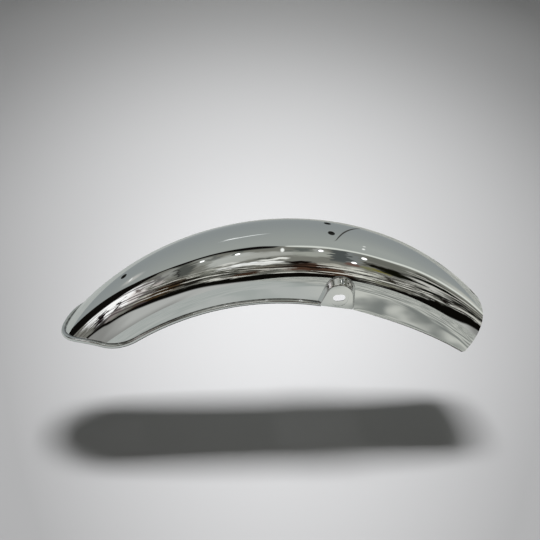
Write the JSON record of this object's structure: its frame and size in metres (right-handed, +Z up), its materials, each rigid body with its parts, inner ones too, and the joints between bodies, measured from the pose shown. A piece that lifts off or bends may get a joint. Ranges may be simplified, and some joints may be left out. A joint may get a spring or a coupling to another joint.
{
  "type": "motorcycle rear mudguard",
  "caption": "Arched chromed steel blade with rounded shoulders, upright side walls, a beaded tail edge, slotted side pads and bolt holes along the crown.",
  "frame": {"origin": "centre of the box's base, where the tail and the two lower nose corners rest", "axes": "+X to the front (nose), +Z up, Y across the blade"},
  "size_m": [0.5032, 0.134, 0.1373],
  "materials": {
    "chrome": "bright polished chrome plate"
  },
  "bodies": {
    "root": {"mudguard_blade": "chrome"}
  },
  "joints": []
}
